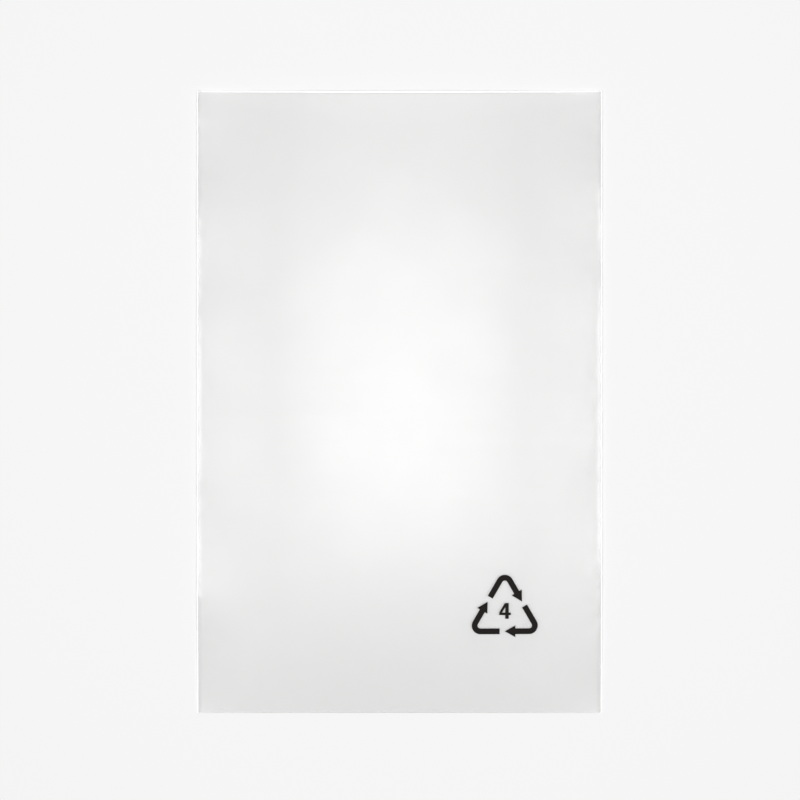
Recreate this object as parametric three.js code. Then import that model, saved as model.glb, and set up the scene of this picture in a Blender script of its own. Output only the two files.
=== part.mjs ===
// A flat poly bag: one sheet of clear film, folded across the bottom and hot-wire welded down both sides.
// It lies on its back ply with the open mouth at +Y, and a little air between the plies holds the front up.
// Millimetres, +Z up. The origin is under the middle of the bag, on the surface that it lies on.

import * as THREE from "three";
import { mergeVertices } from "three/addons/utils/BufferGeometryUtils.js";

// The bag as it is sold
const bagWidth = 150;
const bagLength = 230;
const filmThickness = 0.05;

// The hot-wire welds, which leave a rounded bead of fused film down each side
const beadWidth = 0.7;
const beadThickness = 0.34;

// The fold across the bottom, as the radius inside its crease
const creaseRadius = 0.3;

// How the front ply stands off the back ply
const airHeight = 7;
const mouthHeight = 6.4;
const foldRamp = 110;
const mouthRamp = 60;
const archPower = 0.9;
const lipSetback = 0.6;

// How the back ply leaves the surface towards the welds
const restHalfWidth = 46;
const weldLift = 1.3;
const liftRamp = 45;

// The shallow waves that the heat of the wire draws into the film beside each weld
const waveHeight = 0.28;
const waveLength = 46;
const waveReach = 16;

// How finely the film is divided, with rows that crowd towards the fold, and how near two points count as one
const columns = 26;
const bodyRows = 40;
const rowCrowding = 1.25;
const creaseRows = 4;
const beadSides = 6;
const mergeDistance = 0.001;

const beadAngle = Math.asin(filmThickness / (beadThickness / 2));
const beadCentre = (bagWidth - beadWidth) / 2;
const seamX = beadCentre - (beadWidth / 2) * Math.cos(beadAngle);
const beadLift = beadThickness / 2 - filmThickness;
const creaseDepth = creaseRadius + filmThickness;

const clamp01 = (value) => Math.min(Math.max(value, 0), 1);
const easeOut = (value) => 1 - (1 - clamp01(value)) ** 3;
const easeInOut = (value) => (1 - Math.cos(clamp01(value) * Math.PI)) / 2;

// How much of the air height the front ply has across the bag, from 1 in the middle to 0 at the seams
function archAt(x) {
  const share = x / seamX;
  return Math.max(1 - share * share, 0) ** archPower;
}

// The height of the air between the plies along the middle of the bag
function airAlong(fromFold) {
  const rise = easeOut((fromFold - creaseDepth) / foldRamp);
  const lowering = easeInOut(1 - (bagLength - fromFold) / mouthRamp);
  const full = airHeight - (airHeight - mouthHeight) * lowering;
  return 2 * creaseRadius + (full - 2 * creaseRadius) * rise;
}

// The waves beside a weld: none at the fold or in the middle, and the two sides out of step
function waveAt(x, fromFold) {
  const fromSeam = seamX - Math.abs(x);
  const fade = Math.exp(-((fromSeam / waveReach) ** 2)) * easeInOut(fromFold / liftRamp);
  const step = x > 0 ? 0 : Math.PI / 2;
  return waveHeight * fade * (1 + Math.sin(2 * Math.PI * fromFold / waveLength + step)) / 2;
}

// The underside of the back ply: flat in the middle, and turned up to beads that are thicker than it is
function restAt(x, fromFold) {
  const beyond = clamp01((Math.abs(x) - restHalfWidth) / (seamX - restHalfWidth));
  const lift = beadLift + weldLift * easeInOut(fromFold / liftRamp);
  return lift * beyond * beyond + waveAt(x, fromFold) * beyond;
}

// The two film surfaces that face each other, or the two outer ones, at one place of the bag
function pliesAt(x, fromFold, outside) {
  const skin = outside ? filmThickness : 0;
  const back = restAt(x, fromFold) + filmThickness;
  const front = back + airAlong(fromFold) * archAt(x);
  return { back: back - skin, front: front + skin };
}

// The same in the rounded crease, where turn goes from 0 on the fold line to 1 at its widest
function creaseAt(x, turn, outside) {
  const skin = outside ? filmThickness : 0;
  const middle = restAt(x, 0) + filmThickness + creaseRadius * archAt(x);
  const half = (creaseRadius * archAt(x) + skin) * Math.sin(turn * Math.PI / 2);
  return { back: middle - half, front: middle + half };
}

// Where the columns of points stand across the bag, closer together towards the seams
function columnPlaces() {
  const places = [];
  for (let i = 0; i <= columns; i++) {
    places.push(-seamX * Math.cos(i / columns * Math.PI));
  }
  return places;
}

// One ring of points round the bag: back ply, right bead, front ply, left bead
function ringAt(yOf, heightsAt, beadScale, outside) {
  const places = columnPlaces();
  const ring = places.map((x) => new THREE.Vector3(x, yOf(x, false), heightsAt(x).back));
  const front = places.map((x) => new THREE.Vector3(x, yOf(x, true), heightsAt(x).front)).reverse();
  const addBead = (side) => {
    const heights = heightsAt(side * seamX);
    const middle = (heights.back + heights.front) / 2;
    for (let k = 1; k < beadSides; k++) {
      const swing = (Math.PI - beadAngle) * (2 * k / beadSides - 1) * side;
      const out = outside ? beadCentre + (beadWidth / 2) * Math.cos(swing) : seamX;
      const up = outside ? (beadThickness / 2) * Math.sin(swing) * beadScale : 0;
      ring.push(new THREE.Vector3(side * out, yOf(side * seamX, false), middle + up));
    }
  };
  addBead(1);
  ring.push(...front);
  addBead(-1);
  return ring;
}

// The rings of one side of the film, from the fold line to the mouth
function filmSide(outside) {
  const foldY = -bagLength / 2;
  const start = outside ? 0 : filmThickness;
  const radius = outside ? creaseDepth : creaseRadius;
  const rings = [];
  for (let i = 0; i < creaseRows; i++) {
    const turn = i / creaseRows;
    const y = foldY + start + radius * (1 - Math.cos(turn * Math.PI / 2));
    const beadScale = Math.sin(turn * Math.PI / 2);
    rings.push(ringAt(() => y, (x) => creaseAt(x, turn, outside), beadScale, outside));
  }
  for (let i = 0; i <= bodyRows; i++) {
    const share = (i / bodyRows) ** rowCrowding;
    const fromFold = creaseDepth + (bagLength - creaseDepth) * share;
    const yOf = (x, front) => foldY + fromFold - (front ? lipSetback * archAt(x) * share : 0);
    rings.push(ringAt(yOf, (x) => pliesAt(x, fromFold, outside), 1, outside));
  }
  return rings;
}

// A closed skin over a run of rings whose first and last have collapsed onto a line
function skinOver(rings) {
  const size = rings[0].length;
  const points = rings.flat().flatMap((point) => point.toArray());
  const faces = [];
  for (let row = 0; row + 1 < rings.length; row++) {
    for (let i = 0; i < size; i++) {
      const next = (i + 1) % size;
      const a = row * size + i;
      const b = row * size + next;
      faces.push(a, b + size, b, a, a + size, b + size);
    }
  }
  const skin = new THREE.BufferGeometry();
  skin.setAttribute("position", new THREE.Float32BufferAttribute(points, 3));
  skin.setIndex(faces);
  const merged = mergeVertices(skin, mergeDistance);
  const index = merged.getIndex().array;
  const kept = [];
  for (let i = 0; i < index.length; i += 3) {
    const [a, b, c] = index.slice(i, i + 3);
    if (a !== b && b !== c && c !== a) {
      kept.push(a, b, c);
    }
  }
  merged.setIndex(kept);
  return merged;
}

// The film's outer side runs from the fold to the lips, and its inner side from the lips back to the fold
function filmBag() {
  const film = skinOver([...filmSide(true), ...filmSide(false).reverse()]);
  film.computeVertexNormals();
  const clearFilm = new THREE.MeshStandardMaterial({
    color: 0xe9e9e8,
    roughness: 0.22,
    metalness: 0,
    transparent: true,
    opacity: 0.45,
  });
  const bag = new THREE.Mesh(film, clearFilm);
  bag.name = "film_bag";
  return bag;
}

const flatPolyBag = new THREE.Group();
flatPolyBag.add(filmBag());

export default flatPolyBag;
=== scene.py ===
import math

import bpy
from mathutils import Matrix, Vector


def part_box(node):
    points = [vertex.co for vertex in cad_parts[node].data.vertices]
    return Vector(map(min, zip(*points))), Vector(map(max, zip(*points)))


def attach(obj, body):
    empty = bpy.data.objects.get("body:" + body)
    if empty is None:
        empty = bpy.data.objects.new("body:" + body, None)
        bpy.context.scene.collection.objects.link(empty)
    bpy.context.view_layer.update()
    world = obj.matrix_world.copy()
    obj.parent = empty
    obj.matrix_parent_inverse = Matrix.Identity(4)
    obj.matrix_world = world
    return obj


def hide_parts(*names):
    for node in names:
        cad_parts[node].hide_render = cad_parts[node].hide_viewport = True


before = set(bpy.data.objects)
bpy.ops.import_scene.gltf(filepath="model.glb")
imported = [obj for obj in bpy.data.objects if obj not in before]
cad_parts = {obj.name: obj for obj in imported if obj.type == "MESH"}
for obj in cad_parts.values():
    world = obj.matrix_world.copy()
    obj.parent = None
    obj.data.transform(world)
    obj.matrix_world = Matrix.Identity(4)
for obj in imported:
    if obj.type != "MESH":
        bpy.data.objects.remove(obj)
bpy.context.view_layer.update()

# The looks of a flat poly bag of clear film, with welded sides and a small printed sign, in metres
MM = 0.001

# The bag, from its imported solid: back ply on the ground, fold at -Y, mouth at +Y
LOW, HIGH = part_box("film_bag")
BAG_LENGTH = HIGH.y - LOW.y
FILM = 0.05 * MM
AIR_HEIGHT = HIGH.z - 2 * FILM

# The weld beads, and the seams where the two plies meet them
BEAD_WIDTH = 0.7 * MM
BEAD_THICKNESS = 0.34 * MM
BEAD_CENTRE = HIGH.x - BEAD_WIDTH / 2
SEAM = BEAD_CENTRE - BEAD_WIDTH / 2 * math.cos(math.asin(2 * FILM / BEAD_THICKNESS))
BEAD_LIFT = BEAD_THICKNESS / 2 - FILM
BEAD_UNEVENNESS = 0.25
BEAD_LUMP_LENGTH = 1.7 * MM
BEAD_LUMP_DETAIL = 2
BEAD_END = 0.25 * MM
BEAD_END_SHARE = 0.3
BEAD_POINTS = 600
BEAD_CROWDING = 0.98
BEAD_SIDES = 14

# How the plies stand, with a sliver of air left where they would otherwise touch
CREASE = 0.3 * MM
SLIVER = 0.005 * MM
MOUTH_HEIGHT = 6.4 * MM
FOLD_RAMP = 110 * MM
MOUTH_RAMP = 60 * MM
ARCH_POWER = 0.9
LIP_SETBACK = 0.6 * MM
REST_HALF_WIDTH = 46 * MM
WELD_LIFT = 1.3 * MM
LIFT_RAMP = 45 * MM

# The waves and the fine puckers that the welds draw into the film
WAVE_HEIGHT = 0.28 * MM
WAVE_LENGTH = 46 * MM
WAVE_REACH = 16 * MM
PUCKER_HEIGHT = 0.13 * MM
PUCKER_LENGTH = 5.5 * MM
PUCKER_REACH = 1.7 * MM
PUCKER_LEAN = 0.3
PUCKER_DETAIL = 1

# The slack ripples all over the film
RIPPLE_HEIGHT = 0.16 * MM
RIPPLE_SIZE = 26 * MM
RIPPLE_STRETCH = 0.6
RIPPLE_MARGIN = 10 * MM
RIPPLE_DETAIL = 2

# How far apart the noise of different places is read, so that none repeats another
SIDES_APART = 9
PLIES_APART = 23
BEADS_APART = 5
NOISE_SEED = 0.0

# How finely the film is divided, with rows that crowd towards the fold, and what shades as an edge
FILM_COLUMNS = 73
FILM_ROWS = 481
ROW_CROWDING = 1.5
MERGE_DISTANCE = 0.001 * MM
SHARP_ANGLE = math.radians(35)
SHEET_MAP = "sheet"

# The finish of the film, with a painted highlight along its cut lip, white and more opaque, and the smoother
# strips beside its welds
FILM_TONE = (0.782, 0.778, 0.775, 1)
# The cut lip's white tone and extra opacity are a painted highlight for the glow of the cut edge
LIP_HIGHLIGHT_TONE = (1, 1, 1, 1)
FILM_ALPHA = 0.114
LIP_HIGHLIGHT_ALPHA = 0.5
CLOUD_ALPHA = 0.012
FILM_IOR = 1.8
FILM_ROUGHNESS = 0.26
CLOUD_ROUGHNESS = 0.04
DRAWN_ROUGHNESS = 0.06
POLISH_ROUGHNESS = 0.17
LIP_HIGHLIGHT_BAND = 0.6 * MM
LIP_HIGHLIGHT_FADE = 0.15 * MM
CLOUD_SIZE = 22 * MM
CLOUD_DETAIL = 2
DRAWN_LENGTH = 90 * MM
DRAWN_SPACING = 1.6 * MM
DRAWN_DETAIL = 3
POLISH_FROM = 72.8 * MM
POLISH_FADE = 0.8 * MM

# The finish of the fused beads: white and nearly opaque, partly the whiteness of fused film and partly a
# painted highlight along each bead
WELD_TONE_AND_HIGHLIGHT = (1, 1, 1, 1)
WELD_ROUGHNESS = 0.22
LUMP_ROUGHNESS = 0.1
WELD_IOR = 1.51
WELD_ALPHA_AND_HIGHLIGHT = 0.85
LUMP_ALPHA = 0.2
LUMP_SIZE = 0.8 * MM
LUMP_DETAIL = 2
LUMP_HEIGHT = 0.03 * MM

# The photo's frame, in its own pixels, and the camera that gives it
FRAME_PIXELS = 800
PIXEL = 0.37 * MM
BAG_CENTRE_PIXEL = Vector((399.5, 402))
SIGN_PIXEL = Vector((504.9, 611.7))
CAMERA_LENS = 150
CAMERA_SENSOR = 36
CAMERA_HEIGHT = FRAME_PIXELS * PIXEL * CAMERA_LENS / CAMERA_SENSOR

# The printed sign: three bent arrows round a plain number
INK_TONE = (0.013, 0.011, 0.01, 1)
INK_ROUGHNESS = 0.75
INK_GLOSS = 0.06
INK_STEP = 0.5 * MM
INK_THICKNESS = 0.01 * MM
INK_CLEARANCE = 0.012 * MM
ARC_STEP = 7.5
SIGN_LEVEL = 5 * MM
SIGN_START_HEIGHT = 20 * MM
ARROWS = 3
ARROW_INRADIUS = 7.33 * MM
ARROW_BAND = 2.13 * MM
ARROW_BEND = 2.15 * MM
ARROW_GAP = 1.9 * MM
ARROWHEAD_WIDTH = 4.33 * MM
ARROWHEAD_LENGTH = 3.9 * MM
NUMERAL_HEIGHT = 5.85 * MM
NUMERAL_WIDTH = 4.25 * MM
NUMERAL_LOW = -2.7 * MM
NUMERAL_LEFT = -2.04 * MM
NUMERAL_STEM = 1.3 * MM
NUMERAL_BAR = 0.93 * MM
NUMERAL_BAR_LOW = 1.375 * MM
NUMERAL_BAR_END = 0.754 * MM
NUMERAL_SHOULDER = 0.13 * MM
NUMERAL_HEEL = 0.093 * MM
NUMERAL_SLANT = 1.04 * MM

# Where an arrow starts, bends and ends, as directions from the sign's centre in degrees
ARROW_START = 270
ARROW_CORNER = 210
ARROW_END = 150
QUARTER_TURN = 90

# The floor, the soft surround and the lamps
FLOOR_REACH = 3
FLOOR_DROP = 0.05 * MM
FLOOR_TONE = (0.8, 0.8, 0.8, 1)
FLOOR_WHITENING = 0.05
SURROUND_LIGHT = 0.29
WHITE = (1, 1, 1, 1)
OVERHEAD_PLACE = (0.005, -0.02, 1.6)
OVERHEAD_SIZE = (0.95, 0.34)
OVERHEAD_POWER = 20.5
BACK_PLACE = (0.1, 1.5, 0.8)
BACK_SIZE = (0.5, 0.12)
BACK_POWER = 2.2


class Wire:
    """One output in a node tree. Python's operators on wires and numbers add Math nodes to the tree."""

    def __init__(self, tree, socket):
        self.tree = tree
        self.socket = socket

    def __getitem__(self, name):
        return Wire(self.tree, self.socket.node.outputs[name])

    def math(self, operation, *others, **settings):
        sockets = dict(enumerate((self, *others)))
        return add_node(self.tree, "ShaderNodeMath", {"operation": operation, **settings}, sockets)

    def __add__(self, other):
        return self.math("ADD", other)

    def __sub__(self, other):
        return self.math("SUBTRACT", other)

    def __rsub__(self, other):
        return self.math("MULTIPLY", -1) + other

    def __mul__(self, other):
        return self.math("MULTIPLY", other)

    def __truediv__(self, other):
        return self.math("DIVIDE", other)

    def __pow__(self, other):
        return self.math("POWER", other)

    def __gt__(self, other):
        return self.math("GREATER_THAN", other)

    __radd__ = __add__
    __rmul__ = __mul__

    def clamped(self):
        return self.math("ADD", 0, use_clamp=True)

    def size(self):
        return self.math("ABSOLUTE")


def add_node(tree, kind, settings=None, sockets=None):
    """Adds a node: first its settings, then a value or a wire for each socket. Returns its first output."""
    node = tree.nodes.new(kind)
    for name, value in (settings or {}).items():
        setattr(node, name, value)
    for name, value in (sockets or {}).items():
        for each in value if isinstance(value, list) else [value]:
            if isinstance(each, Wire):
                tree.links.new(each.socket, node.inputs[name])
            else:
                node.inputs[name].default_value = each
    return Wire(tree, node.outputs[0]) if node.outputs else None


def as_vector(tree, x=0, y=0, z=0):
    return add_node(tree, "ShaderNodeCombineXYZ", None, {"X": x, "Y": y, "Z": z})


def parts_of(tree, vector):
    """A vector's three numbers, as the wires X, Y and Z."""
    return add_node(tree, "ShaderNodeSeparateXYZ", None, {"Vector": vector})


def noise_at(tree, place, detail):
    return add_node(tree, "ShaderNodeTexNoise", None, {"Vector": place, "Scale": 1, "Detail": detail})


def swing_at(tree, place, detail):
    """Noise that swings to both sides of 0, by 1 at most."""
    return (noise_at(tree, place, detail) - 0.5) * 2


def ease_out(share):
    """From 0 to 1, quick at first and slow at the end."""
    return 1 - (1 - share.clamped()) ** 3


def ease_in_out(share):
    """From 0 to 1, slow at both ends."""
    return (1 - (share.clamped() * math.pi).math("COSINE")) / 2


def from_seam(x):
    """How far inside the nearer seam a place is, and 0 beyond it."""
    return (SEAM - x.size()).math("MAXIMUM", 0)


def arch_at(x):
    """The front ply's share of the air height across the bag, from 1 in the middle to 0 at the seams."""
    share = x / SEAM
    return (1 - share * share).clamped() ** ARCH_POWER


def air_along(from_fold, air_height):
    """The height of the air between the plies along the middle of the bag, above the crease's own."""
    rise = ease_out((from_fold - CREASE) / FOLD_RAMP)
    lowering = ease_in_out((from_fold - (BAG_LENGTH - MOUTH_RAMP)) / MOUTH_RAMP)
    full = air_height - 2 * (CREASE + SLIVER) - lowering * (air_height - MOUTH_HEIGHT)
    return rise * full


def weld_waves(x, from_fold, height):
    """The long shallow waves of the film beside each weld, with the two sides out of step."""
    fade = ((from_seam(x) / WAVE_REACH) ** 2 * -1).math("EXPONENT") * ease_in_out(from_fold / LIFT_RAMP)
    step = (1 - (x > 0)) * (math.pi / 2)
    swing = (from_fold * (2 * math.pi / WAVE_LENGTH) + step).math("SINE")
    return fade * (swing + 1) / 2 * height


def rest_at(x, from_fold, wave_height):
    """The underside of the back ply: flat in the middle, and turned up to the welds."""
    beyond = ((x.size() - REST_HALF_WIDTH) / (SEAM - REST_HALF_WIDTH)).clamped()
    lift = ease_in_out(from_fold / LIFT_RAMP) * WELD_LIFT + BEAD_LIFT
    return lift * beyond * beyond + weld_waves(x, from_fold, wave_height) * beyond


def puckers(tree, x, from_fold, front, height, seed):
    """The fine gathers beside each weld, different on the two sides and on the two plies."""
    reach = from_seam(x) / PUCKER_REACH
    envelope = reach * (1 - reach).math("EXPONENT") * ease_in_out(from_fold / LIFT_RAMP)
    apart = (x > 0) * SIDES_APART + front * PLIES_APART
    place = as_vector(tree, apart, from_fold / PUCKER_LENGTH, reach * PUCKER_LEAN + seed)
    return swing_at(tree, place, PUCKER_DETAIL) * envelope * height


def ripples(tree, x, run, height, seed):
    """The slack of the film, by place on the unrolled sheet, so that it carries on round the fold."""
    margin = 1 - (from_seam(x) / RIPPLE_MARGIN * -1).math("EXPONENT")
    place = as_vector(tree, x / RIPPLE_SIZE, run * (RIPPLE_STRETCH / RIPPLE_SIZE), seed)
    return swing_at(tree, place, RIPPLE_DETAIL) * margin * height


def film_sheet(tree, sizes):
    """The outer side of the folded sheet, from the back lip round the crease to the front lip."""
    grid = add_node(tree, "GeometryNodeMeshGrid", None, {
        "Size X": 2, "Size Y": 2, "Vertices X": sizes["Columns"], "Vertices Y": sizes["Rows"],
    })
    place = parts_of(tree, add_node(tree, "GeometryNodeInputPosition"))
    x = (place["X"] * (math.pi / 2)).math("SINE") * BEAD_CENTRE
    front = place["Y"] > 0
    side = place["Y"].math("SIGN")
    run = place["Y"].size() ** ROW_CROWDING * BAG_LENGTH
    radius = arch_at(x) * CREASE + (FILM + SLIVER)
    quarter = radius * (math.pi / 2)
    angle = (run / radius).math("MINIMUM", math.pi / 2)
    beyond = (run - quarter).math("MAXIMUM", 0) / (BAG_LENGTH - quarter)
    from_fold = radius * (1 - angle.math("COSINE")) + beyond * (BAG_LENGTH - radius)
    gathers = puckers(tree, x, from_fold, front, sizes["Pucker height"], sizes["Seed"])
    slack = ripples(tree, x, side * run, sizes["Ripple height"], sizes["Seed"])
    level = rest_at(x, from_fold, sizes["Wave height"]) + gathers + slack * ease_in_out(run / LIFT_RAMP)
    raised = air_along(from_fold, sizes["Air height"]) * arch_at(x) * front
    height = (level + radius + side * radius * angle.math("SINE") + raised).math("MAXIMUM", 0)
    setback = front * arch_at(x) * from_fold * (LIP_SETBACK / BAG_LENGTH)
    settings = {"data_type": "FLOAT2", "domain": "CORNER"}
    mapped = add_node(tree, "GeometryNodeStoreNamedAttribute", settings, {
        "Geometry": grid, "Name": SHEET_MAP, "Value": as_vector(tree, x, side * run),
    })
    return add_node(tree, "GeometryNodeSetPosition", None, {
        "Geometry": mapped, "Position": as_vector(tree, x, from_fold - setback + LOW.y, height),
    })


def with_thickness(tree, skin, thickness):
    """A closed sheet: the skin itself, and the same skin turned over and pushed inwards."""
    inside = add_node(tree, "GeometryNodeFlipFaces", None, {"Mesh": skin})
    inside = add_node(tree, "GeometryNodeExtrudeMesh", {"mode": "FACES"}, {
        "Mesh": inside, "Offset Scale": thickness, "Individual": False,
    })
    both = add_node(tree, "GeometryNodeJoinGeometry", None, {"Geometry": [skin, inside]})
    return add_node(tree, "GeometryNodeMergeByDistance", None, {"Geometry": both, "Distance": MERGE_DISTANCE})


def weld_bead(tree, side, sizes):
    """The bead of fused film down one side, a little uneven along its length and rounded at its ends."""
    line = add_node(tree, "GeometryNodeCurvePrimitiveLine", None, {
        "Start": (side * BEAD_CENTRE, LOW.y, 0), "End": (side * BEAD_CENTRE, HIGH.y, 0),
    })
    line = add_node(tree, "GeometryNodeResampleCurve", None, {"Curve": line, "Count": BEAD_POINTS})
    share = add_node(tree, "GeometryNodeSplineParameter")
    crowded = (share - (share * (2 * math.pi)).math("SINE") * (BEAD_CROWDING / (2 * math.pi))) * BAG_LENGTH
    place = parts_of(tree, add_node(tree, "GeometryNodeInputPosition"))
    height = rest_at(place["X"] * (SEAM / BEAD_CENTRE), crowded, sizes["Wave height"]) + (FILM + SLIVER)
    line = add_node(tree, "GeometryNodeSetPosition", None, {
        "Geometry": line, "Position": as_vector(tree, place["X"], crowded + LOW.y, height),
    })
    line = add_node(tree, "GeometryNodeSetCurveNormal", {"mode": "Z_UP"}, {"Curve": line})
    from_fold = place["Y"] - LOW.y
    lump_place = as_vector(tree, side * BEADS_APART, from_fold / BEAD_LUMP_LENGTH, sizes["Seed"])
    lumps = noise_at(tree, lump_place, BEAD_LUMP_DETAIL)
    from_end = (from_fold.math("MINIMUM", BAG_LENGTH - from_fold) / BEAD_END).clamped()
    rounding = ((1 - (1 - from_end) ** 2) ** 0.5).math("MAXIMUM", BEAD_END_SHARE)
    profile = add_node(tree, "GeometryNodeTransform", None, {
        "Geometry": add_node(tree, "GeometryNodeCurvePrimitiveCircle", None, {
            "Resolution": BEAD_SIDES, "Radius": 1,
        }),
        "Scale": as_vector(tree, sizes["Bead width"] / 2, sizes["Bead thickness"] / 2, 1),
    })
    return add_node(tree, "GeometryNodeCurveToMesh", None, {
        "Curve": line,
        "Profile Curve": profile,
        "Scale": (1 - lumps * sizes["Bead unevenness"]) * rounding,
        "Fill Caps": True,
    })


def tree_for(name, inputs):
    """An empty geometry tree with named inputs, and the wires that come from them."""
    tree = bpy.data.node_groups.new(name, "GeometryNodeTree")
    tree.interface.new_socket("Geometry", in_out="INPUT", socket_type="NodeSocketGeometry")
    for label, kind in inputs.items():
        tree.interface.new_socket(label, in_out="INPUT", socket_type="NodeSocket" + kind)
    tree.interface.new_socket("Geometry", in_out="OUTPUT", socket_type="NodeSocketGeometry")
    return tree, add_node(tree, "NodeGroupInput")


def grow(name, mesh, tree, values):
    """Runs a tree on a mesh with the given inputs, and returns a plain object that holds the result."""
    seed = bpy.data.objects.new(name + "_seed", mesh)
    bpy.context.scene.collection.objects.link(seed)
    modifier = seed.modifiers.new("grow", "NODES")
    modifier.node_group = tree
    identifiers = {s.name: s.identifier for s in tree.interface.items_tree if s.in_out == "INPUT"}
    for label, value in values.items():
        modifier[identifiers[label]] = value
    seen = bpy.context.evaluated_depsgraph_get()
    seen.update()
    result = bpy.data.meshes.new_from_object(seed.evaluated_get(seen), depsgraph=seen)
    bpy.data.objects.remove(seed)
    result.name = name
    grown = bpy.data.objects.new(name, result)
    bpy.context.scene.collection.objects.link(grown)
    return grown


def film_bag_tree():
    """The folded sheet of film and its two weld beads, fused into one closed solid."""
    tree, sizes = tree_for("film_bag", {
        "Columns": "Int",
        "Rows": "Int",
        "Film thickness": "Float",
        "Air height": "Float",
        "Wave height": "Float",
        "Pucker height": "Float",
        "Ripple height": "Float",
        "Bead width": "Float",
        "Bead thickness": "Float",
        "Bead unevenness": "Float",
        "Seed": "Float",
        "Film material": "Material",
        "Weld material": "Material",
    })
    film = with_thickness(tree, film_sheet(tree, sizes), sizes["Film thickness"])
    beads = [weld_bead(tree, side, sizes) for side in (-1, 1)]
    whole = add_node(tree, "GeometryNodeMeshBoolean", {"operation": "UNION", "solver": "MANIFOLD"}, {
        "Mesh 2": [film, *beads],
    })
    whole = add_node(tree, "GeometryNodeSetShadeSmooth", None, {"Geometry": whole, "Shade Smooth": True})
    whole = add_node(tree, "GeometryNodeRealizeInstances", None, {"Geometry": whole})
    whole = add_node(tree, "GeometryNodeSetMaterial", None, {
        "Geometry": whole, "Material": sizes["Film material"],
    })
    beyond_seam = parts_of(tree, add_node(tree, "GeometryNodeInputPosition"))["X"].size() > SEAM
    all_corners = add_node(tree, "GeometryNodeFieldOnDomain", {"data_type": "BOOLEAN", "domain": "POINT"}, {
        "Value": beyond_seam,
    })
    whole = add_node(tree, "GeometryNodeSetMaterial", None, {
        "Geometry": whole, "Selection": all_corners, "Material": sizes["Weld material"],
    })
    add_node(tree, "NodeGroupOutput", None, {"Geometry": whole})
    return tree


def sign_tree():
    """Fills flat outlines, repeats them round the sign's centre and lays them on the film as thin ink."""
    tree, start = tree_for("sign", {
        "Film": "Object",
        "Centre": "Vector",
        "Copies": "Int",
        "Clearance": "Float",
        "Ink thickness": "Float",
        "Ink": "Material",
    })
    outline = add_node(tree, "GeometryNodeMeshToCurve", None, {"Mesh": start["Geometry"]})
    shape = add_node(tree, "GeometryNodeFillCurve", {"mode": "TRIANGLES"}, {"Curve": outline})
    copies = add_node(tree, "GeometryNodeDuplicateElements", {"domain": "INSTANCE"}, {
        "Geometry": add_node(tree, "GeometryNodeGeometryToInstance", None, {"Geometry": [shape]}),
        "Amount": start["Copies"],
    })
    turn = copies["Duplicate Index"] * (2 * math.pi) / start["Copies"]
    copies = add_node(tree, "GeometryNodeRotateInstances", None, {
        "Instances": copies, "Rotation": as_vector(tree, z=turn),
    })
    flat = add_node(tree, "GeometryNodeRealizeInstances", None, {"Geometry": copies})
    flat = add_node(tree, "GeometryNodeTransform", None, {"Geometry": flat, "Translation": start["Centre"]})
    film = add_node(tree, "GeometryNodeObjectInfo", None, {"Object": start["Film"]})
    hit = add_node(tree, "GeometryNodeRaycast", None, {
        "Target Geometry": film["Geometry"], "Ray Direction": (0, 0, -1), "Ray Length": 1,
    })
    laid = add_node(tree, "GeometryNodeSetPosition", None, {
        "Geometry": flat,
        "Position": hit["Hit Position"],
        "Offset": as_vector(tree, z=start["Clearance"] + start["Ink thickness"]),
    })
    ink = with_thickness(tree, laid, start["Ink thickness"])
    ink = add_node(tree, "GeometryNodeSetMaterial", None, {"Geometry": ink, "Material": start["Ink"]})
    add_node(tree, "NodeGroupOutput", None, {"Geometry": ink})
    return tree


def at_angle(degrees):
    return Vector((math.cos(math.radians(degrees)), math.sin(math.radians(degrees))))


def arc(centre, radius, first, last):
    """Points along an arc, from one angle to another in degrees."""
    steps = math.ceil(abs(last - first) / ARC_STEP)
    return [centre + at_angle(first + (last - first) * i / steps) * radius for i in range(steps + 1)]


def polygon(*points):
    return [Vector(point) for point in points]


def outline_mesh(name, loops):
    """Closed loops of edges, none longer than the step that lets the ink follow the film."""
    points, edges = [], []
    for loop in loops:
        first = len(points)
        for a, b in zip(loop, loop[1:] + loop[:1]):
            pieces = math.ceil((b - a).length / INK_STEP)
            points += [(*a.lerp(b, i / pieces), 0) for i in range(pieces)]
        count = len(points) - first
        edges += [(first + i, first + (i + 1) % count) for i in range(count)]
    mesh = bpy.data.meshes.new(name)
    mesh.from_pydata(points, edges, [])
    return mesh


def arrow_outline():
    """One of three arrows: a square end, a rounded corner and a pointed head, round the sign's centre."""
    half = ARROW_BAND / 2
    turn_centre = at_angle(ARROW_CORNER) * 2 * (ARROW_INRADIUS - ARROW_BEND)
    outward = at_angle(ARROW_END)
    along = at_angle(ARROW_END - QUARTER_TURN)
    tip = outward * ARROW_INRADIUS
    base = tip - along * ARROWHEAD_LENGTH
    return [
        Vector((-ARROW_GAP, -ARROW_INRADIUS - half)),
        *arc(turn_centre, ARROW_BEND + half, ARROW_START, ARROW_END),
        base + outward * half,
        base + outward * ARROWHEAD_WIDTH / 2,
        tip,
        base - outward * ARROWHEAD_WIDTH / 2,
        base - outward * half,
        *arc(turn_centre, ARROW_BEND - half, ARROW_END, ARROW_START),
        Vector((-ARROW_GAP, -ARROW_INRADIUS + half)),
    ]


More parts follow.
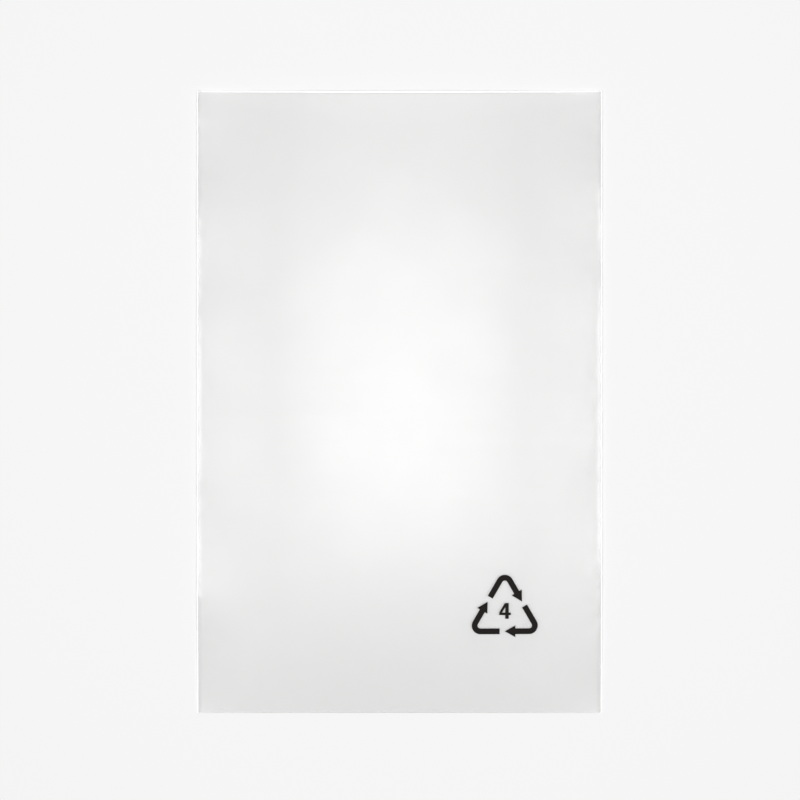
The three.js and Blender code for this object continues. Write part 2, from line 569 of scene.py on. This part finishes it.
def numeral_outlines():
    """The sign's number, with a slanted stroke from the top of its stem to the end of its bar."""
    stem_right = NUMERAL_WIDTH - NUMERAL_BAR_END
    stem_left = stem_right - NUMERAL_STEM
    bar_high = NUMERAL_BAR_LOW + NUMERAL_BAR
    slant_top = stem_left - NUMERAL_SHOULDER
    outside = polygon(
        (stem_left, 0), (stem_right, 0), (stem_right, NUMERAL_BAR_LOW), (NUMERAL_WIDTH, NUMERAL_BAR_LOW),
        (NUMERAL_WIDTH, bar_high), (stem_right, bar_high), (stem_right, NUMERAL_HEIGHT),
        (slant_top, NUMERAL_HEIGHT), (0, bar_high + NUMERAL_HEEL), (0, NUMERAL_BAR_LOW),
        (stem_left, NUMERAL_BAR_LOW),
    )
    slope = (NUMERAL_HEIGHT - bar_high) / slant_top
    hole_top = bar_high + (stem_left - NUMERAL_SLANT) * slope
    hole = polygon((NUMERAL_SLANT, bar_high), (stem_left, bar_high), (stem_left, hole_top))
    corner = Vector((NUMERAL_LEFT, NUMERAL_LOW))
    return [[point + corner for point in loop] for loop in (outside, hole)]


def empty_material(name):
    """A new material, and the tree that its shader goes into."""
    material = bpy.data.materials.new(name)
    material.use_nodes = True
    material.node_tree.nodes.clear()
    return material, material.node_tree


def noise_over(tree, place, sizes, detail):
    """Noise over a place, with the size of its features in each direction, or 0 where it doesn't vary."""
    scales = tuple(1 / size if size else 0 for size in sizes)
    stretched = add_node(tree, "ShaderNodeVectorMath", {"operation": "MULTIPLY"}, {0: place, 1: scales})
    return noise_at(tree, stretched, detail)


def printed_ink():
    """Matt, near-black printing ink."""
    material, tree = empty_material("printed_ink")
    shader = add_node(tree, "ShaderNodeBsdfPrincipled", None, {
        "Base Color": INK_TONE, "Roughness": INK_ROUGHNESS, "Specular IOR Level": INK_GLOSS,
    })
    add_node(tree, "ShaderNodeOutputMaterial", None, {"Surface": shader})
    return material


def clear_film():
    """Thin film, a little milky: soft clouds, faint drawn streaks, and a painted highlight, white and more
    opaque, along the edge where it is cut.
    """
    material, tree = empty_material("clear_film")
    sheet = add_node(tree, "ShaderNodeUVMap", {"uv_map": SHEET_MAP})
    place = parts_of(tree, sheet)
    # The band at the cut lip is a painted highlight: white, more opaque film in place of the cut edge's glow
    lip_highlight = ((place["Y"].size() - (BAG_LENGTH - LIP_HIGHLIGHT_BAND)) / LIP_HIGHLIGHT_FADE).clamped()
    polish = ((place["X"].size() - POLISH_FROM) / POLISH_FADE).clamped()
    clouds = noise_over(tree, sheet, (CLOUD_SIZE, CLOUD_SIZE, 0), CLOUD_DETAIL)
    drawn = noise_over(tree, sheet, (DRAWN_LENGTH, DRAWN_SPACING, 0), DRAWN_DETAIL)
    shader = add_node(tree, "ShaderNodeBsdfPrincipled", None, {
        "Base Color": add_node(tree, "ShaderNodeMix", {"data_type": "RGBA"}, {
            "Factor": lip_highlight, "A": FILM_TONE, "B": LIP_HIGHLIGHT_TONE,
        })["Result"],
        "Roughness": (
            FILM_ROUGHNESS + clouds * CLOUD_ROUGHNESS + drawn * DRAWN_ROUGHNESS - polish * POLISH_ROUGHNESS
        ),
        "IOR": FILM_IOR,
        "Alpha": FILM_ALPHA + clouds * CLOUD_ALPHA + lip_highlight * LIP_HIGHLIGHT_ALPHA,
    })
    add_node(tree, "ShaderNodeOutputMaterial", None, {"Surface": shader})
    return material


def fused_film():
    """The weld beads: solid film, white and hard to see through, partly as fused film is and partly as a
    painted highlight along each bead, with small lumps along them.
    """
    material, tree = empty_material("fused_film")
    place = add_node(tree, "ShaderNodeTexCoord")["Object"]
    lumps = noise_over(tree, place, (LUMP_SIZE, LUMP_SIZE, LUMP_SIZE), LUMP_DETAIL)
    shader = add_node(tree, "ShaderNodeBsdfPrincipled", None, {
        # White and nearly opaque: fused film's own whiteness, plus a painted highlight for the bright line
        # along the bead
        "Base Color": WELD_TONE_AND_HIGHLIGHT,
        "Roughness": WELD_ROUGHNESS + lumps * LUMP_ROUGHNESS,
        "IOR": WELD_IOR,
        "Alpha": WELD_ALPHA_AND_HIGHLIGHT + lumps * LUMP_ALPHA,
        "Normal": add_node(tree, "ShaderNodeBump", None, {
            "Height": lumps * LUMP_HEIGHT, "Strength": 1, "Distance": 1,
        }),
    })
    add_node(tree, "ShaderNodeOutputMaterial", None, {"Surface": shader})
    return material


# The bag itself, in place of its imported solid
film_bag = grow("film_bag_film", bpy.data.meshes.new("empty"), film_bag_tree(), {
    "Columns": FILM_COLUMNS,
    "Rows": FILM_ROWS,
    "Film thickness": FILM,
    "Air height": AIR_HEIGHT,
    "Wave height": WAVE_HEIGHT,
    "Pucker height": PUCKER_HEIGHT,
    "Ripple height": RIPPLE_HEIGHT,
    "Bead width": BEAD_WIDTH,
    "Bead thickness": BEAD_THICKNESS,
    "Bead unevenness": BEAD_UNEVENNESS,
    "Seed": NOISE_SEED,
    "Film material": clear_film(),
    "Weld material": fused_film(),
})
film_bag.data.set_sharp_from_angle(angle=SHARP_ANGLE)
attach(film_bag, "root")
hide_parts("film_bag")

# The sign stands a little above the ground, nearer to the camera, so a pixel is a little less there
sign_pixel = PIXEL * (1 - SIGN_LEVEL / CAMERA_HEIGHT)
sign_offset = (SIGN_PIXEL - BAG_CENTRE_PIXEL) * sign_pixel
sign_values = {
    "Film": film_bag,
    "Centre": Vector((sign_offset.x, -sign_offset.y, SIGN_START_HEIGHT)),
    "Clearance": INK_CLEARANCE,
    "Ink thickness": INK_THICKNESS,
    "Ink": printed_ink(),
}
sign = sign_tree()
printed = [
    grow("printed_arrows", outline_mesh("arrow", [arrow_outline()]), sign, {**sign_values, "Copies": ARROWS}),
    grow("printed_number", outline_mesh("number", numeral_outlines()), sign, {**sign_values, "Copies": 1}),
]
for ink in printed:
    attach(ink, "root")


def seen_directly(tree):
    """1 for rays from the camera or sent on by gloss or a clear body, and 0 for those that gather light."""
    path = add_node(tree, "ShaderNodeLightPath")
    return (path["Is Camera Ray"] + path["Is Glossy Ray"] + path["Is Transmission Ray"]).clamped()


def pale_floor():
    """A floor that is seen a little whiter than the light it gives back."""
    material, tree = empty_material("pale_floor")
    diffuse = add_node(tree, "ShaderNodeBsdfDiffuse", None, {"Color": FLOOR_TONE})
    whitening = add_node(tree, "ShaderNodeEmission", None, {
        "Color": WHITE, "Strength": seen_directly(tree) * FLOOR_WHITENING,
    })
    both = add_node(tree, "ShaderNodeAddShader", None, {0: diffuse, 1: whitening})
    add_node(tree, "ShaderNodeOutputMaterial", None, {"Surface": both})
    return material


def lamp(name, place, size, power, aim=None):
    """An oval lamp that points straight down, or at a place that it is aimed at."""
    data = bpy.data.lights.new(name, "AREA")
    data.shape = "ELLIPSE"
    data.size, data.size_y = size
    data.energy = power
    lit = bpy.data.objects.new(name, data)
    lit.location = place
    if aim is not None:
        lit.rotation_mode = "QUATERNION"
        lit.rotation_quaternion = (aim - lit.location).to_track_quat("-Z", "Y")
    bpy.context.scene.collection.objects.link(lit)


# The floor, just under the bag
floor_mesh = bpy.data.meshes.new("floor")
floor_corners = [
    (x * FLOOR_REACH, y * FLOOR_REACH, -FLOOR_DROP) for x, y in ((-1, -1), (1, -1), (1, 1), (-1, 1))
]
floor_mesh.from_pydata(floor_corners, [], [(0, 1, 2, 3)])
floor_mesh.materials.append(pale_floor())
floor = bpy.data.objects.new("floor", floor_mesh)
bpy.context.scene.collection.objects.link(floor)

# The surround, which is seen white but lights the bag softly
world = bpy.data.worlds.new("studio")
bpy.context.scene.world = world
world.use_nodes = True
world.node_tree.nodes.clear()
surround = add_node(world.node_tree, "ShaderNodeBackground", None, {
    "Color": WHITE, "Strength": SURROUND_LIGHT + seen_directly(world.node_tree) * (1 - SURROUND_LIGHT),
})
add_node(world.node_tree, "ShaderNodeOutputWorld", None, {"Surface": surround})

lamp("overhead", OVERHEAD_PLACE, OVERHEAD_SIZE, OVERHEAD_POWER)
lamp("back", BACK_PLACE, BACK_SIZE, BACK_POWER, aim=Vector())

# The camera, straight above the middle of the photo's frame
camera_data = bpy.data.cameras.new("camera")
camera_data.lens = CAMERA_LENS
camera_data.sensor_width = CAMERA_SENSOR
camera = bpy.data.objects.new("camera", camera_data)
bpy.context.scene.collection.objects.link(camera)
frame_centre = (Vector((FRAME_PIXELS, FRAME_PIXELS)) / 2 - BAG_CENTRE_PIXEL) * PIXEL
camera.location = (frame_centre.x, -frame_centre.y, CAMERA_HEIGHT)
bpy.context.scene.camera = camera

bpy.context.scene.view_settings.view_transform = "Standard"
